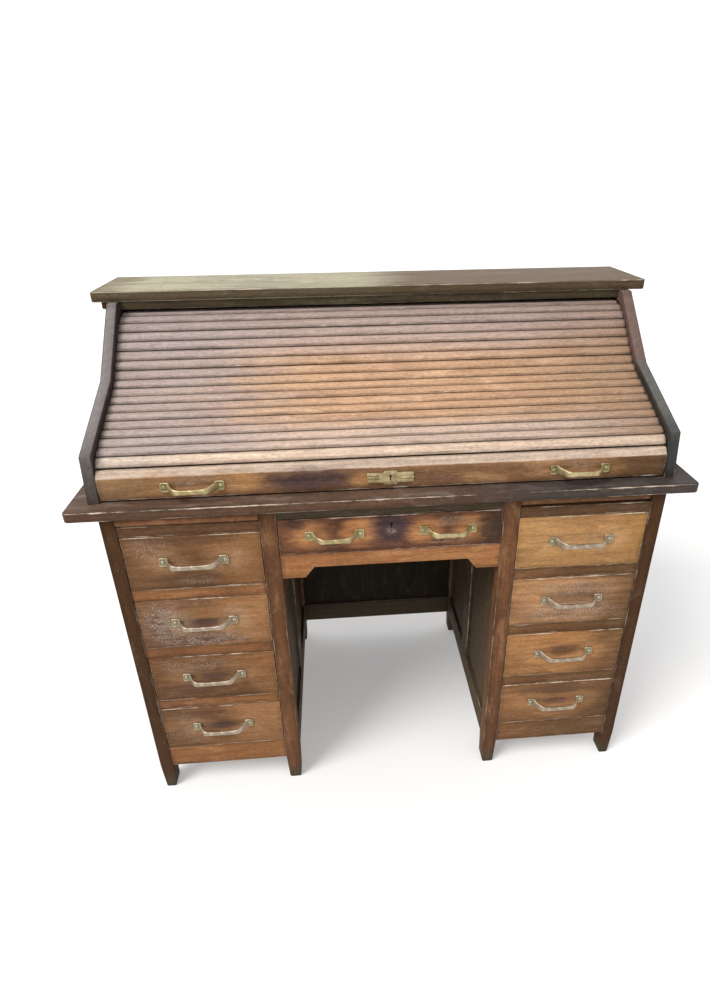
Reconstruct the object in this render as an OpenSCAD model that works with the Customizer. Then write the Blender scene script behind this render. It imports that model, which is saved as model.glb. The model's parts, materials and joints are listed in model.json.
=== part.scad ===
// Roll top desk: two pedestals of four drawers, a centre drawer over the kneehole, two
// pull-out writing slides, and a slatted curtain that rolls up over a set of pigeonholes.
// +Z is up and the front faces -Y. The origin is the middle of the footprint, on the floor.
// Depths in the code are counted back from the front edge of the desk top.

/* [Desk] */
// Width of the desk top
top_w = 1213; // [1000:5:1500]
// Depth of the desk top
top_d = 576; // [520:2:760]
// Thickness of the desk top
top_t = 20; // [16:1:30]
// Height of the writing surface
desk_h = 770; // [700:5:800]

/* [Pedestals] */
// Half the width over the outer legs
ped_out = 549; // [480:1:600]
// Half the width of the kneehole
knee_half = 222; // [180:1:260]
// Width of an inner leg, seen from the front
leg_in_w = 32.5; // [24:0.5:45]
// Width of an outer leg, seen from the front
leg_out_w = 28.5; // [22:0.5:45]
// Depth of each leg, front to back
leg_d = 36; // [30:1:60]
// Front faces of the legs, behind the desk top's front edge
leg_set = 13; // [5:1:30]
// Back faces of the legs, behind the desk top's front edge
carcase_d = 533; // [500:1:740]
// Clear height under the pedestals
foot_h = 70; // [40:1:100]
// Taper of each side of a foot towards the floor
foot_taper = 4; // [0:0.5:8]

/* [Drawers] */
// Top of the highest drawer opening
drawer_top = 704.4; // [680:0.1:720]
// Height of each drawer opening
drawer_h = 124.4; // [100:0.1:140]
// Step from one drawer opening to the next
drawer_pitch = 150.3; // [120:0.1:170]
// Gap round each drawer front
drawer_gap = 1.2; // [0.5:0.1:3]
// Thickness of the drawer fronts
front_t = 20; // [14:1:26]
// Height of the drawer sides
box_h = 98; // [60:1:110]
// Length of the drawer sides behind the front
box_len = 480; // [350:5:540]

/* [Kneehole] */
// Bottom of the centre drawer opening
mid_low = 646; // [620:1:670]
// Top of the centre drawer opening
mid_high = 727.5; // [700:0.5:740]
// Lower edge of the apron in the middle
apron_mid = 613; // [590:1:640]
// Lower edge of the apron at its ends
apron_end = 589; // [560:1:620]

/* [Gallery] */
// Inner faces of the gables, from the middle
gable_in = 547; // [480:1:600]
// Thickness of the gables
gable_t = 22; // [16:1:30]
// Back edges of the gables
gable_d = 552; // [500:1:700]
// Half the width of the top board
crown_half = 604; // [540:1:700]
// Underside of the top board
crown_z = 1076; // [1000:1:1150]
// Thickness of the top board
crown_t = 22; // [16:1:30]
// Front edge of the top board
crown_front = 360; // [330:1:400]

/* [Curtain] */
// Width of one slat along the curtain
slat_w = 22.2; // [18:0.1:28]
// Thickness of a slat
slat_t = 8.5; // [6:0.5:12]
// Number of slats
slat_n = 19; // [15:1:24]
// Depth of the curtain behind the gables' sloping edges
curtain_set = 14; // [8:1:20]
// Height of the bottom rail along the curtain
rail_h = 60; // [45:1:75]

/* [Fittings] */
// Overall length of a pedestal drawer pull
pull_len = 134; // [110:1:150]
// Overall length of a curtain pull
rail_pull_len = 119; // [100:1:140]
// Overall length of a centre drawer pull
mid_pull_len = 115; // [95:1:130]
// How far a pull stands out
pull_reach = 29; // [22:1:36]

/* [Hidden] */
oak = [0.36, 0.23, 0.14];
oak_dark = [0.24, 0.16, 0.11];
oak_raw = [0.62, 0.48, 0.32];
brass = [0.72, 0.60, 0.36];
steel = [0.45, 0.45, 0.46];

under = desk_h - top_t;
leg_back = carcase_d - leg_d;
open_in = knee_half + leg_in_w;
open_out = ped_out - leg_out_w;
ped_mid = (open_in + open_out) / 2;
levels = [0 : 3];
face_set = leg_set + 0.5;
rail_set = leg_set + 2;
rail_d = 42;
box_back = face_set + front_t + box_len;
slide_low = mid_high + 0.5;
slide_t = 20;
runner_w = 20;
runner_t = 14;
frame_t = 22;
frame_h = 60;
panel_t = 8;
back_t = 14;
panel_set = 4;
foot_worn = 3;
mid_back = leg_back + 8;
seam = 0.1;
desk_mid = (top_d + face_set - pull_reach) / 2;
eps = 0.01;

// curtain guide, as [depth, height] in millimetres
brow = [44.3, 862.5];
knee = [222.4, 948];
crest = [346.8, 1075];
gable_foot = [32.5, desk_h];
lower_a = atan2(knee.y - brow.y, knee.x - brow.x);
upper_a = atan2(crest.y - knee.y, crest.x - knee.x);
lower_dir = [cos(lower_a), sin(lower_a)];
upper_dir = [cos(upper_a), sin(upper_a)];
inset = curtain_set + slat_t;
lower_p = brow + inset * [sin(lower_a), -cos(lower_a)];
upper_p = knee + inset * [sin(upper_a), -cos(upper_a)];
guide_front = 45 + slat_t;
guide_crown = 1060 - slat_t;
guide_rear = 530 - slat_t;
guide_drop = 1026 - slat_t;
guide_low = 785;
rail_low = 772;
guide = [
    [guide_front, rail_low],
    lower_p + lower_dir * (guide_front - lower_p.x) / lower_dir.x,
    lower_p + lower_dir * cross(upper_p - lower_p, upper_dir) / cross(lower_dir, upper_dir),
    upper_p + upper_dir * (guide_crown - upper_p.y) / upper_dir.y,
    [guide_rear, guide_drop],
    [guide_rear, guide_low]
];
guide_r = [0, 18, 120, 77, 78, 0];
guide_end = len(guide) - 2;

function heading(i) = atan2(guide[i + 1].y - guide[i].y, guide[i + 1].x - guide[i].x);
function turn(i) = i < 1 || i > guide_end ? 0 : heading(i) - heading(i - 1);
function lead(i) = guide_r[i] * tan(abs(turn(i)) / 2);
function straight(i) = norm(guide[i + 1] - guide[i]) - lead(i) - lead(i + 1);
function bend(i) = guide_r[i] * abs(turn(i)) * PI / 180;
function ahead(a) = [cos(a), sin(a)];

// point of the guide at distance s from the foot of the curtain
function guide_at(s, i = 0) =
    s <= straight(i) || i == guide_end
    ? guide[i] + (lead(i) + s) * ahead(heading(i))
    : let (r = s - straight(i))
      r <= bend(i + 1) ? bend_at(r, i + 1) : guide_at(r - bend(i + 1), i + 1);

function bend_at(r, i) =
    let (
        side = sign(turn(i)),
        start = guide[i] - lead(i) * ahead(heading(i - 1)),
        centre = start + guide_r[i] * ahead(heading(i - 1) + 90 * side)
    )
    centre + guide_r[i] * ahead(heading(i - 1) - 90 * side + turn(i) * r / bend(i));

// slats 1 to slat_n lie in a row above the bottom rail, in groups that turn as one
function slat_start(k) = rail_h + (k - 1) * slat_w;
group_first = [1, for (k = [2 : 2 : slat_n]) k];
group_names = [for (g = [0 : len(group_first) - 1]) str("slats_", g < 9 ? "0" : "", g + 1)];

drawer_names = [for (side = ["left", "right"]) for (i = levels) str(side, "_drawer_", i + 1)];

module at_desk() {
    translate([0, -desk_mid, 0]) children();
}

module both_sides() {
    children();
    mirror([1, 0, 0]) children();
}

// a board between two opposite corners
module board(low, high) {
    translate(low) cube(high - low);
}

// a profile drawn as [depth, height], run across the desk from x0 to x1
module across(x0, x1) {
    translate([x0, 0, 0]) rotate([90, 0, 90]) linear_extrude(x1 - x0) children();
}

// a profile drawn as [across, height], run back from y0 to y1
module back_from(y0, y1) {
    translate([0, y1, 0]) rotate([90, 0, 0]) linear_extrude(y1 - y0) children();
}

module rounded_plan(x, y0, y1, r) {
    translate([-x, y0 + r]) square([2 * x, y1 - y0 - r]);
    translate([-x + r, y0]) square([2 * (x - r), r + eps]);
    for (s = [-1, 1]) translate([s * (x - r), y0 + r]) circle(r, $fn = 40);
}

// screw, head outwards on the -Y side of y = 0
screw_r = 1.8;
screw_head_r = 4;
screw_head_t = 1.6;
screw_len = 15;
screw_slot = 0.9;
lug_t = 3;
lug_w = 18;
lug_h = 20;
bar_t = 6;
bar_h = 10;
screw_in = 7;
bail_in = 14;
pilot_gap = 0.25;
seat_gap = 0.05;

module screw() {
    difference() {
        translate([0, -lug_t - seat_gap, 0]) rotate([90, 0, 0])
            cylinder(r = screw_head_r, h = screw_head_t, $fn = 16);
        translate([-screw_head_r, -lug_t - seat_gap - screw_head_t - eps, -screw_slot / 2])
            cube([2 * screw_head_r, screw_slot, screw_slot]);
    }
    translate([0, screw_len, 0]) rotate([90, 0, 0])
        cylinder(r = screw_r, h = screw_len + lug_t + 2 * seat_gap, $fn = 12);
}

module pilot_holes(length) {
    for (s = [-1, 1]) translate([s * (length / 2 - screw_in), screw_len + 1, 0]) rotate([90, 0, 0])
        cylinder(r = screw_r + pilot_gap, h = screw_len + 2 + lug_t, $fn = 12);
}

bail_steps = 9;
bail_slope = 20;
bail_bow = 2;

// outline of a bail: out from the lugs on a quarter wave, then bowed to the middle
function bail(a, b) = [
    for (i = [-bail_steps : bail_steps])
        let (
            x = a * sin(90 * i / bail_steps),
            rise = sin(90 * min((a - abs(x)) / bail_slope, 1))
        )
        [x, (bail_bow - b) * rise - bail_bow * (1 - pow(x / a, 2))]
];

module bail_band(length) {
    a = length / 2 - bail_in;
    difference() {
        polygon(bail(a + bar_t / 2, pull_reach));
        polygon(bail(a - bar_t / 2, pull_reach - bar_t));
        translate([-length, -lug_t]) square([2 * length, 2 * lug_t]);
    }
}

// cast bail pull with two lugs, its back on the plane y = 0
module pull(length) {
    difference() {
        union() {
            for (s = [-1, 1]) translate([s * (length - lug_w) / 2 - lug_w / 2, -lug_t, -lug_h / 2])
                cube([lug_w, lug_t, lug_h]);
            translate([0, 0, -bar_h / 2]) linear_extrude(bar_h) union() {
                bail_band(length);
                for (s = [-1, 1]) translate([s * (length / 2 - bail_in) - bar_t / 2, -lug_t - 0.5])
                    square([bar_t, 1]);
            }
        }
        pilot_holes(length);
    }
    for (s = [-1, 1]) translate([s * (length / 2 - screw_in), 0, 0]) screw();
}

// desk top and carcase

bolt_w = 10;
bolt_t = 3.4;
bolt_len = 20;
bolt_gap = 0.8;
rail_bolt_y = 46.5;
mid_bolt_y = face_set + 10;

module bolt_slot(y, z0, z1) {
    board([-bolt_w / 2 - bolt_gap, y - bolt_t / 2 - bolt_gap, z0],
          [bolt_w / 2 + bolt_gap, y + bolt_t / 2 + bolt_gap, z1]);
}

module desk_top() {
    color(oak) at_desk() difference() {
        translate([0, 0, under]) linear_extrude(top_t) rounded_plan(top_w / 2, 0, top_d, 10);
        bolt_slot(rail_bolt_y, desk_h - 12, desk_h + 1);
    }
}

module leg(x0, x1, taper_low, taper_high) {
    polygon([[x0, under], [x0, foot_h], [x0 + taper_low, foot_worn],
             [x0 + taper_low + foot_worn, 0], [x1 - taper_high - foot_worn, 0],
             [x1 - taper_high, foot_worn], [x1, foot_h], [x1, under]]);
}

module legs() {
    color(oak_dark) at_desk() both_sides() for (y = [leg_set, leg_back]) {
        back_from(y, y + leg_d) leg(knee_half, open_in, foot_taper / 2, foot_taper);
        back_from(y, y + leg_d) leg(open_out, ped_out, foot_taper / 2, foot_taper);
    }
}

function level_top(i) = drawer_top - i * drawer_pitch;
function level_low(i) = level_top(i) - drawer_h;

module rail_under(z_top, z_low) {
    board([open_in, rail_set, z_low], [open_out, rail_set + rail_d, z_top]);
}

module side_frame(x) {
    y0 = leg_set + leg_d;
    mid_y = (y0 + leg_back) / 2;
    board([x, y0, foot_h], [x + frame_t, leg_back, foot_h + frame_h]);
    board([x, y0, under - frame_h], [x + frame_t, leg_back, under]);
    board([x, mid_y - frame_h / 2, foot_h + frame_h + seam],
          [x + frame_t, mid_y + frame_h / 2, under - frame_h - seam]);
}

module side_panels(x) {
    y0 = leg_set + leg_d;
    mid_y = (y0 + leg_back) / 2;
    for (y = [[y0, mid_y - frame_h / 2], [mid_y + frame_h / 2, leg_back]])
        board([x, y[0], foot_h + frame_h], [x + panel_t, y[1], under - frame_h]);
}

module carcase_rails() {
    color(oak) at_desk() {
        both_sides() {
            rail_under(slide_low - 1, drawer_top);
            for (i = [0 : 2]) rail_under(level_low(i), level_top(i + 1));
            board([open_in, rail_set, foot_h], [open_out, rail_set + frame_t, level_low(3)]);
            side_frame(knee_half + 1);
            side_frame(ped_out - 1 - frame_t);
            for (z = [foot_h, under - frame_h])
                board([open_in, carcase_d - back_t - 2, z], [open_out, carcase_d - 2, z + frame_h]);
        }
        difference() {
            board([-knee_half, rail_set, mid_high], [knee_half, rail_set + rail_d, under]);
            bolt_slot(mid_bolt_y, mid_high - 1, mid_high + 13);
        }
    }
}

module carcase_panels() {
    color(oak) at_desk() both_sides() {
        side_panels(knee_half + 8);
        side_panels(ped_out - 8 - panel_t);
        board([open_in, carcase_d - back_t, foot_h + frame_h],
              [open_out, carcase_d - back_t + panel_t, under - frame_h]);
    }
}

module runner_pair(z_top, y0, y1) {
    for (x = [open_in, open_out - runner_w])
        board([x, y0, z_top - runner_t], [x + runner_w, y1, z_top]);
}

module drawer_runners() {
    y1 = carcase_d - back_t - 2;
    color(oak_raw) at_desk() both_sides() {
        for (i = [0 : 2]) runner_pair(level_low(i), rail_set + rail_d, y1);
        runner_pair(level_low(3), rail_set + frame_t, y1);
        runner_pair(slide_low - 1, rail_set + rail_d, y1);
        board([knee_half - runner_w, rail_set + frame_t, mid_low - runner_t],
              [knee_half, mid_back, mid_low]);
    }
}

module kneehole_back() {
    panel_y = mid_back + panel_set;
    color(oak) at_desk() {
        for (z = [foot_h, under - frame_h])
            board([-knee_half, mid_back, z], [knee_half, mid_back + back_t, z + frame_h]);
        board([-knee_half, panel_y, foot_h + frame_h + seam],
              [knee_half, panel_y + panel_t, under - frame_h - seam]);
    }
}

module kneehole_apron() {
    inner = knee_half - 66;
    outer = knee_half - 48;
    color(oak) at_desk() back_from(rail_set, rail_set + frame_t)
        polygon([[-knee_half, mid_low], [-knee_half, apron_end], [-outer, apron_end],
                 [-inner, apron_mid], [inner, apron_mid], [outer, apron_end],
                 [knee_half, apron_end], [knee_half, mid_low]]);
}

// gallery

groove_d = 7;
groove_gap = 0.8;
groove_steps = 70;
groove_len = rail_h + slat_n * slat_w + 304;

function groove_side(off) = [
    for (i = [0 : groove_steps])
        let (
            s = 6 + (groove_len - 6) * i / groove_steps,
            p = guide_at(s),
            q = guide_at(s + 0.5)
        )
        p + off * [-(q - p).y, (q - p).x] / norm(q - p)
];
function reversed(v) = [for (i = [len(v) - 1 : -1 : 0]) v[i]];

module gable_profile() {
    polygon([gable_foot, brow, knee, crest, [crest.x + 1, crown_z], [gable_d, crown_z],
             [gable_d, desk_h]]);
}

module gable() {
    difference() {
        across(gable_in, gable_in + gable_t) gable_profile();
        across(gable_in - 1, gable_in + groove_d)
            polygon(concat(groove_side(-groove_gap), reversed(groove_side(slat_t + groove_gap))));
    }
}

module left_gable() {
    color(oak) at_desk() mirror([1, 0, 0]) gable();
}

module right_gable() {
    color(oak) at_desk() gable();
}

module top_board() {
    color(oak) at_desk() translate([0, 0, crown_z]) linear_extrude(crown_t)
        rounded_plan(crown_half, crown_front, gable_d + 2, 7);
}

header_set = 4;
header_t = 14;
header_h = 17;

module header_rail() {
    y0 = crown_front + header_set;
    color(oak) at_desk()
        board([-gable_in, y0, crown_z - header_h], [gable_in, y0 + header_t, crown_z]);
}

module gallery_back() {
    y0 = gable_d - back_t;
    stile = 60;
    x1 = gable_in - stile;
    z0 = desk_h + stile;
    z1 = crown_z - stile;
    color(oak_dark) at_desk() {
        both_sides() {
            board([x1, y0, desk_h], [gable_in, gable_d, crown_z]);
            board([stile / 2 + seam, y0 + panel_set, z0 + seam],
                  [x1 - seam, y0 + panel_set + panel_t, z1 - seam]);
        }
        board([seam - x1, y0, desk_h], [x1 - seam, gable_d, z0]);
        board([seam - x1, y0, z1], [x1 - seam, gable_d, crown_z]);
        board([-stile / 2, y0, z0 + seam], [stile / 2, gable_d, z1 - seam]);
    }
}

guard_y = 477;
guard_h = 165;
hole_front = 345;
hole_t = 8;
hole_z = desk_h + guard_h;
divider_x = 300;

module curtain_guard() {
    color(oak_raw) at_desk()
        board([-gable_in, guard_y, desk_h], [gable_in, guard_y + hole_t, hole_z]);
}

module pigeonholes() {
    shelf_z = desk_h + guard_h / 2;
    z1 = hole_z - hole_t - seam;
    color(oak) at_desk() {
        board([-gable_in, hole_front, hole_z - hole_t], [gable_in, guard_y, hole_z]);
        board([-hole_t / 2, hole_front, desk_h], [hole_t / 2, guard_y, z1]);
        both_sides() {
            board([gable_in - hole_t, hole_front, desk_h], [gable_in, guard_y, z1]);
            board([divider_x, hole_front, desk_h], [divider_x + hole_t, guard_y, z1]);
            board([divider_x + hole_t + seam, hole_front, shelf_z],
                  [gable_in - hole_t - seam, guard_y, shelf_z + hole_t]);
        }
    }
}

// the two cleats on the left side, under the overhangs
module side_cleats() {
    r = 16;
    low_w = 38;
    color(oak_dark) at_desk() {
        x = -gable_in - gable_t;
        back_from(crown_front + 6, gable_d - 6) difference() {
            translate([x - r, crown_z - 1.5 * r]) square([r, 1.5 * r]);
            translate([x - r, crown_z - 1.5 * r - 2]) circle(r - 4, $fn = 48);
        }
        board([-ped_out - low_w, leg_set + 8, under - 8], [-ped_out, leg_back, under]);
    }
}

// curtain

curtain_x = gable_in - 1;
rail_face = 37;
rail_back = 56;
rail_pull_x = 373;
rail_pull_z = 797;
rail_top = rail_low + rail_h - 1;

module curtain_rail() {
    color(oak) at_desk() difference() {
        across(-curtain_x, curtain_x)
            polygon([[rail_face, rail_low + 2], [rail_back, rail_low + 2], [rail_back, rail_top - 6],
                     [rail_back - 2.5, rail_top], [guide_front - 7.5, rail_top],
                     [rail_face, rail_top - 13]]);
        bolt_slot(rail_bolt_y, rail_low, rail_low + 4 + bolt_len);
        for (s = [-1, 1]) translate([s * rail_pull_x, rail_face, rail_pull_z])
            pilot_holes(rail_pull_len);
        translate([0, rail_face, rail_pull_z]) keyway();
    }
}

module keyway() {
    translate([0, 9, 3]) rotate([90, 0, 0]) cylinder(r = 2.6, h = 20, $fn = 20);
    board([-1.3, -11, -6], [1.3, 9, 3]);
}

module curtain_pulls() {
    color(brass) at_desk() for (s = [-1, 1])
        translate([s * rail_pull_x, rail_face, rail_pull_z]) pull(rail_pull_len);
}

plate_w = 34;
plate_h = 30;
plate_t = 2.4;
wing_len = 46;
flute_r = 4;

// keyhole plate with a fluted wing each side
module curtain_escutcheon() {
    color(brass) at_desk() translate([0, rail_face, rail_pull_z]) difference() {
        union() {
            back_from(-plate_t, 0) union() {
                square([plate_w - 8, plate_h], center = true);
                for (s = [-1, 1]) translate([s * (plate_w / 2 - 6), 0])
                    circle(plate_h / 2 - 5, $fn = 36);
            }
            for (z = [-1, 0, 1]) translate([0, -plate_t / 2, z * 1.9 * flute_r]) {
                back_from(-plate_t / 2, plate_t / 2)
                    square([2 * wing_len - 2 * flute_r, 1.7 * flute_r], center = true);
                back_from(-plate_t / 2, plate_t / 2) for (s = [-1, 1])
                    translate([s * (wing_len - flute_r), 0]) circle(0.85 * flute_r, $fn = 24);
            }
            back_from(-1.2, 0) square([2 * wing_len - 12, 4 * flute_r], center = true);
        }
        keyway();
    }
}

module curtain_bolt() {
    color(steel) at_desk()
        board([-bolt_w / 2, rail_bolt_y - bolt_t / 2, rail_low + 3],
              [bolt_w / 2, rail_bolt_y + bolt_t / 2, rail_low + 3 + bolt_len]);
}

slat_gap = 1.25;
slat_joint = 0.2;
crown_steps = 8;

function slat_profile(gap0, gap1) = concat(
    [[slat_w - gap1, 0]],
    [for (i = [0 : crown_steps])
        let (u = 1 - 2 * i / crown_steps)
        [slat_w / 2 + u * (slat_w / 2 - max(gap0, gap1)), slat_t - 3.4 * pow(abs(u), 3)]],
    [[gap0, 0]]
);

module slat(k, gap0, gap1) {
    p = guide_at(slat_start(k));
    q = guide_at(slat_start(k + 1));
    translate([0, p.x, p.y]) rotate([atan2(q.y - p.y, q.x - p.x), 0, 0])
        across(-curtain_x, curtain_x) polygon(slat_profile(gap0, gap1));
}

module slat_group(g) {
    first = group_first[g];
    last = g == len(group_first) - 1 ? slat_n : group_first[g + 1] - 1;
    color(oak) at_desk() for (k = [first : last])
        slat(k, k == first ? slat_gap : slat_joint, k == last ? slat_gap : slat_joint);
}

// drawers

module drawer_box(x0, x1, z0, height, y0, y1) {
    side_t = 11;
    base_t = 6;
    board([x0, y0, z0], [x0 + side_t, y1, z0 + height]);
    board([x1 - side_t, y0, z0], [x1, y1, z0 + height]);
    inner = [x0 + side_t + seam, x1 - side_t - seam];
    board([inner[0], y1 - side_t, z0], [inner[1], y1, z0 + height]);
    board([inner[0], y0, z0 + base_t], [inner[1], y1 - side_t - seam, z0 + 2 * base_t]);
}

pull_rise = 4;
function pull_z(i) = level_low(i) + drawer_h / 2 + pull_rise;

module drawer_front(i) {
    difference() {
        board([open_in + drawer_gap, face_set, level_low(i) + drawer_gap],
              [open_out - drawer_gap, face_set + front_t, level_top(i) - drawer_gap]);
        translate([ped_mid, face_set, pull_z(i)]) pilot_holes(pull_len);
    }
}

module placed(side) {
    mirror([side == "left" ? 1 : 0, 0, 0]) children();
}

module pedestal_front(side, i) {
    color(oak) at_desk() placed(side) drawer_front(i);
}

module pedestal_box(side, i) {
    color(oak_raw) at_desk() placed(side)
        drawer_box(open_in + 2, open_out - 2, level_low(i) + drawer_gap, box_h,
                   face_set + front_t, box_back);
}

module pedestal_pull(side, i) {
    color(brass) at_desk() placed(side)
        translate([ped_mid, face_set, pull_z(i)]) pull(pull_len);
}

mid_pull_x = 112;
mid_pull_z = 689;
mid_key_z = 704;
mid_box_h = 68;

module centre_drawer_front() {
    x = knee_half - drawer_gap;
    color(oak) at_desk() difference() {
        board([-x, face_set, mid_low + drawer_gap], [x, face_set + front_t, mid_high - drawer_gap]);
        for (s = [-1, 1]) translate([s * mid_pull_x, face_set, mid_pull_z])
            pilot_holes(mid_pull_len);
        bolt_slot(mid_bolt_y, mid_high - drawer_gap - bolt_len - 2, mid_high);
        translate([0, face_set, mid_key_z]) keyway();
    }
}

module centre_drawer_box() {
    x = knee_half - 3;
    color(oak_raw) at_desk()
        drawer_box(-x, x, mid_low + drawer_gap, mid_box_h, face_set + front_t, mid_back - 10);
}

module centre_drawer_pulls() {
    color(brass) at_desk() for (s = [-1, 1])
        translate([s * mid_pull_x, face_set, mid_pull_z]) pull(mid_pull_len);
}

module centre_drawer_bolt() {
    z1 = mid_high - drawer_gap - 1;
    color(steel) at_desk()
        board([-bolt_w / 2, mid_bolt_y - bolt_t / 2, z1 - bolt_len],
              [bolt_w / 2, mid_bolt_y + bolt_t / 2, z1]);
}

// writing slide with a rounded front edge, standing out by the given amount
slide_len = 440;

module writing_slide(side, set) {
    r = slide_t / 2;
    color(oak) at_desk() placed(side) across(open_in + 1, open_out - 1) union() {
        translate([set + r, slide_low + r]) circle(r, $fn = 48);
        translate([set + r, slide_low]) square([slide_len, slide_t]);
    }
}

desk_top();
legs();
carcase_rails();
carcase_panels();
drawer_runners();
kneehole_back();
kneehole_apron();
left_gable();
right_gable();
top_board();
header_rail();
gallery_back();
curtain_guard();
pigeonholes();
side_cleats();
curtain_rail();
curtain_pulls();
curtain_escutcheon();
curtain_bolt();
for (g = [0 : len(group_names) - 1])
    slat_group(g);
for (side = ["left", "right"]) for (i = levels) {
    name = str(side, "_drawer_", i + 1);
    pedestal_front(side, i);
    pedestal_box(side, i);
    pedestal_pull(side, i);
}
centre_drawer_front();
centre_drawer_box();
centre_drawer_pulls();
centre_drawer_bolt();
writing_slide("left", 9);  // left_writing_slide
writing_slide("right", leg_set + 3);  // right_writing_slide
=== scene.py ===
"""Looks for the roll top desk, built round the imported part."""
import json
import math
from types import SimpleNamespace

import bmesh
import bpy
from mathutils import Matrix, Vector


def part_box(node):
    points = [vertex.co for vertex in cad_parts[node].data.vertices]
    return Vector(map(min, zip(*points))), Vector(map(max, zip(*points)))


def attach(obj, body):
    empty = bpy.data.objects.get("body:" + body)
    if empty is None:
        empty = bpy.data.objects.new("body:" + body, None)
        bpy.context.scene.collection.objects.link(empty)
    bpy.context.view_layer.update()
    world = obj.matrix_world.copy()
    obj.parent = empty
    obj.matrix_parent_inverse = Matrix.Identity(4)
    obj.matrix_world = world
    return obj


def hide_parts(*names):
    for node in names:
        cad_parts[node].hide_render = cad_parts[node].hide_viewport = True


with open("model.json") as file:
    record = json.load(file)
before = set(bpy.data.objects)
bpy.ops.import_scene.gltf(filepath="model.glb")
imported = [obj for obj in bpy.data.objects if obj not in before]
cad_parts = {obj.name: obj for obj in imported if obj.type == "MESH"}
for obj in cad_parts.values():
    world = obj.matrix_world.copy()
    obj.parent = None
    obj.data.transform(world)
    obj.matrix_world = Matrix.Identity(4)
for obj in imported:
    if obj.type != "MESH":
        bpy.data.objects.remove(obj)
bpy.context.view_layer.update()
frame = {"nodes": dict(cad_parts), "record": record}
BODY_OF = {n: b for b, nodes in frame["record"]["behaviour"]["bodies"].items() for n in nodes}
MM = 0.001
WELD = 0.02 * MM
FLAT = math.radians(0.2)
CREASE = math.radians(32)
BEVEL_STEPS = 2
SIDES = ("left", "right")
PER_PEDESTAL = 4
SLAT_GROUPS = 10
MATERIALS = {}


# ---------------------------------------------------------------- node helpers

class Shader:
    """A small builder for one material's node tree."""

    def __init__(self, name):
        self.material = bpy.data.materials.new(name)
        self.material.use_nodes = True
        self.tree = self.material.node_tree
        self.tree.nodes.clear()
        self.out = self.add("ShaderNodeOutputMaterial")
        self.bsdf = self.add("ShaderNodeBsdfPrincipled")
        self.link(self.bsdf.outputs["BSDF"], self.out.inputs["Surface"])

    def add(self, kind, **settings):
        node = self.tree.nodes.new(kind)
        for key, value in settings.items():
            setattr(node, key, value)
        return node

    def link(self, source, socket):
        self.tree.links.new(source, socket)

    def feed(self, socket, value):
        """Links a socket, or sets the number, vector or colour that it holds."""
        if isinstance(value, bpy.types.NodeSocket):
            self.link(value, socket)
        elif isinstance(value, (tuple, list)) and len(value) == 3 and socket.type == "RGBA":
            socket.default_value = (*value, 1)
        else:
            socket.default_value = value

    def attribute(self, name, output="Fac"):
        return self.add("ShaderNodeAttribute", attribute_name=name).outputs[output]

    def math(self, operation, a, b=None, c=None, clamp=False):
        node = self.add("ShaderNodeMath", operation=operation, use_clamp=clamp)
        for socket, value in zip(node.inputs, (a, b, c)):
            if value is not None:
                self.feed(socket, value)
        return node.outputs[0]

    def vector(self, operation, a, b=None):
        node = self.add("ShaderNodeVectorMath", operation=operation)
        self.feed(node.inputs[0], a)
        if b is not None:
            self.feed(node.inputs[1], b)
        return node.outputs["Value" if operation in ("LENGTH", "DISTANCE") else "Vector"]

    def parts(self, vector):
        node = self.add("ShaderNodeSeparateXYZ")
        self.feed(node.inputs[0], vector)
        return node.outputs

    def join(self, x, y, z):
        node = self.add("ShaderNodeCombineXYZ")
        for socket, value in zip(node.inputs, (x, y, z)):
            self.feed(socket, value)
        return node.outputs[0]

    def noise(self, vector, scale, detail=3.0, rough=0.55, warp=0.0):
        """Noise from 0 to 1, stretched by a scale for each axis, in cycles a metre."""
        node = self.add("ShaderNodeTexNoise")
        self.feed(node.inputs["Vector"], self.vector("MULTIPLY", vector, scale))
        node.inputs["Scale"].default_value = 1.0
        node.inputs["Detail"].default_value = detail
        node.inputs["Roughness"].default_value = rough
        node.inputs["Distortion"].default_value = warp
        return node.outputs[0]

    def step(self, value, low, high, to_low=0.0, to_high=1.0):
        """A smooth step from to_low at low to to_high at high."""
        node = self.add("ShaderNodeMapRange", interpolation_type="SMOOTHSTEP")
        for socket, v in zip(node.inputs, (value, low, high, to_low, to_high)):
            self.feed(socket, v)
        return node.outputs[0]

    def mix(self, factor, a, b, blend="MIX"):
        node = self.add("ShaderNodeMix", data_type="RGBA", blend_type=blend)
        self.feed(node.inputs[0], factor)
        self.feed(node.inputs[6], a)
        self.feed(node.inputs[7], b)
        return node.outputs[2]

    def times(self, *values):
        made = values[0]
        for value in values[1:]:
            made = self.math("MULTIPLY", made, value)
        return made

    def finish(self, colour, roughness, height, depth, **fixed):
        self.feed(self.bsdf.inputs["Base Color"], colour)
        self.feed(self.bsdf.inputs["Roughness"], roughness)
        bump = self.add("ShaderNodeBump")
        bump.inputs["Strength"].default_value = 1.0
        bump.inputs["Distance"].default_value = depth
        self.link(height, bump.inputs["Height"])
        self.link(bump.outputs[0], self.bsdf.inputs["Normal"])
        for name, value in fixed.items():
            self.bsdf.inputs[name].default_value = value
        return self.material


# ---------------------------------------------------------------- materials

WORN = (0.50, 0.40, 0.31)
FLECK = (0.50, 0.40, 0.32)
RINGS_PER_METRE, RING_SWING, PITH_DEPTH = 110.0, 0.09, 0.03
OAK_RELIEF, BRASS_RELIEF, STEEL_RELIEF = 0.5 * MM, 0.2 * MM, 0.1 * MM


def scaled(colour, share):
    return tuple(share * c for c in colour)


def gaps(s):
    """How far a point on a board is from the board's ends, long edges and broad faces."""
    local = s.parts(s.vector("ABSOLUTE", s.attribute("local", "Vector")))
    half = s.parts(s.attribute("half", "Vector"))
    return [s.math("SUBTRACT", half[i], local[i]) for i in range(3)]


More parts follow.
